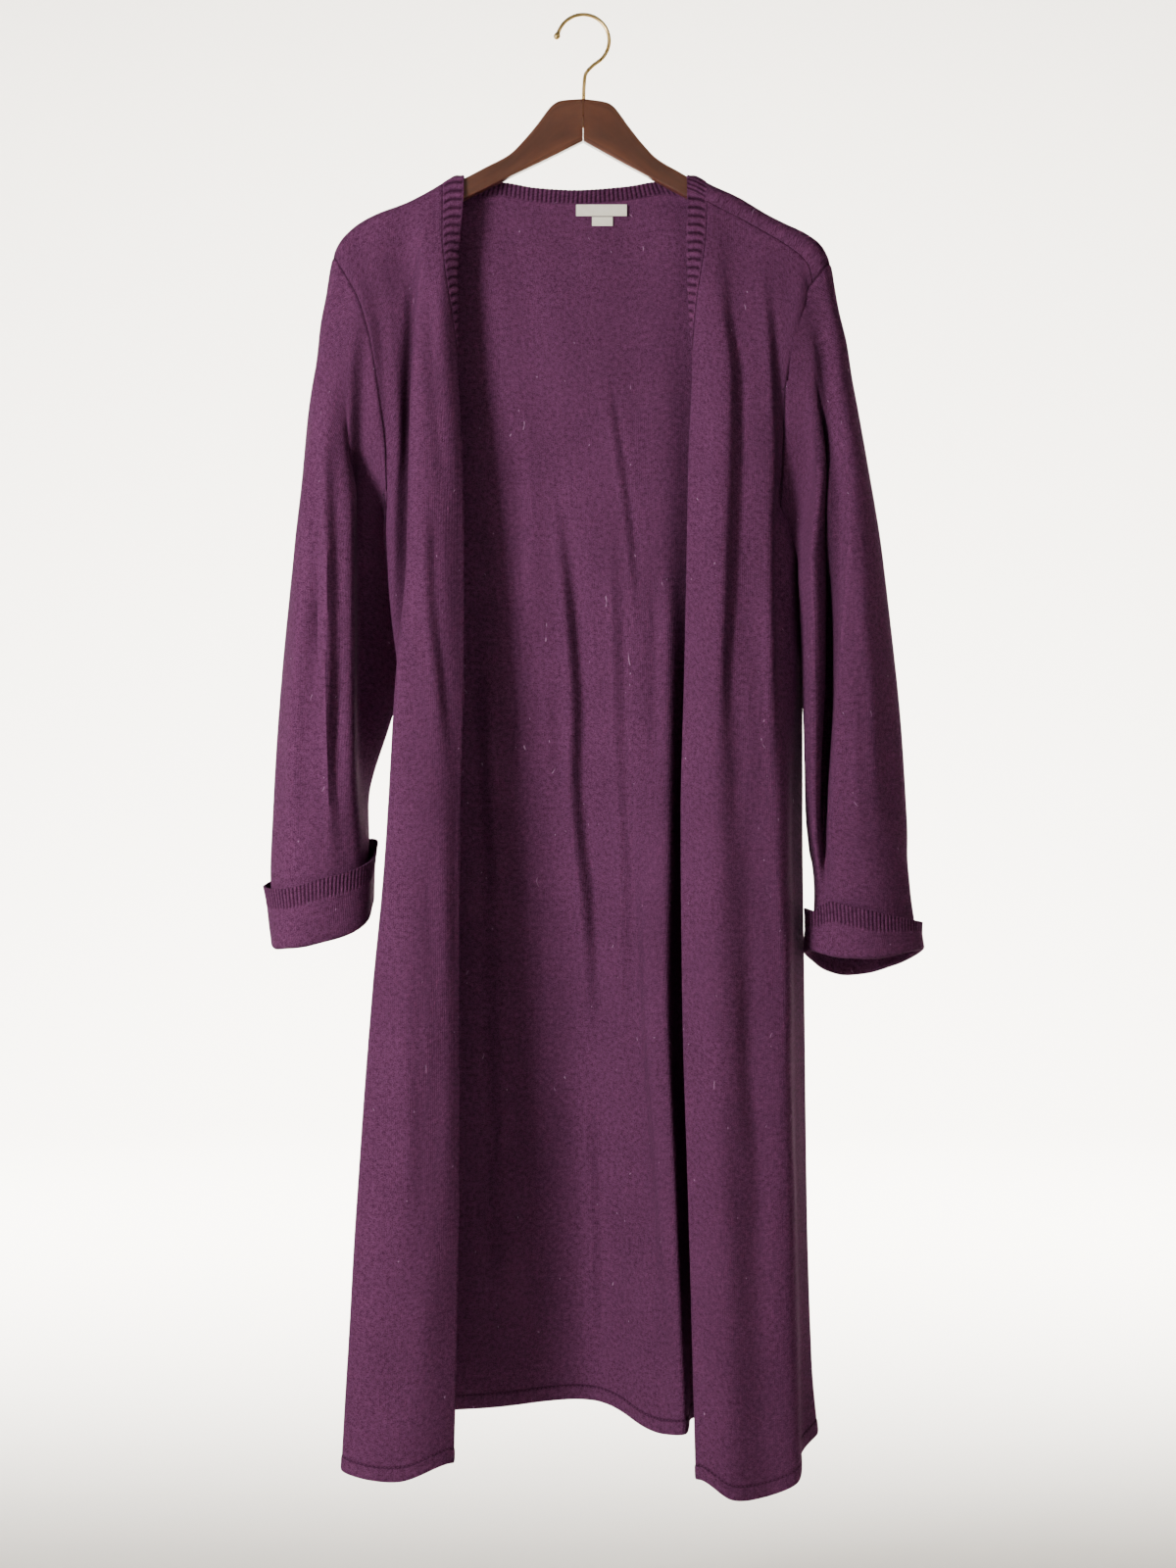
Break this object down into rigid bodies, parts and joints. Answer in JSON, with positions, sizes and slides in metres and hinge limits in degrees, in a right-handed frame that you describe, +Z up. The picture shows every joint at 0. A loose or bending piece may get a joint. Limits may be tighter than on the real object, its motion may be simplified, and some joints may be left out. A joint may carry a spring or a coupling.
{
  "type": "open-front duster cardigan on a wooden hanger",
  "caption": "Long open-front knitted cardigan with ribbed front bands and turned-up ribbed cuffs, hung on a wooden hanger with a wire hook.",
  "frame": {"origin": "inside top of the hanger's hook, where it rests on a rail", "axes": "+Z up, the open front faces -Y, +X to the right of someone who faces the front"},
  "size_m": [0.5563, 0.1293, 1.2411],
  "materials": {
    "plum_knit": "matt fine jersey knit, heathered plum, with fine vertical wales",
    "plum_rib": "matt ribbed knit, plum",
    "ivory_satin": "woven satin label, bare",
    "dark_walnut": "satin lacquer over dark stained wood, grain along each arm",
    "brushed_brass": "brushed"
  },
  "bodies": {
    "root": {"back": "plum_knit", "band_left": "plum_rib", "band_right": "plum_rib", "cuff_rib_left": "plum_rib", "cuff_rib_right": "plum_rib", "front_left": "plum_knit", "front_right": "plum_knit", "hanger_left": "dark_walnut", "hanger_right": "dark_walnut", "hook": "brushed_brass", "label": "ivory_satin", "neck_rib": "plum_rib", "neck_tape": "plum_rib", "size_tab": "ivory_satin", "sleeve_left": "plum_knit", "sleeve_right": "plum_knit"}
  },
  "joints": []
}
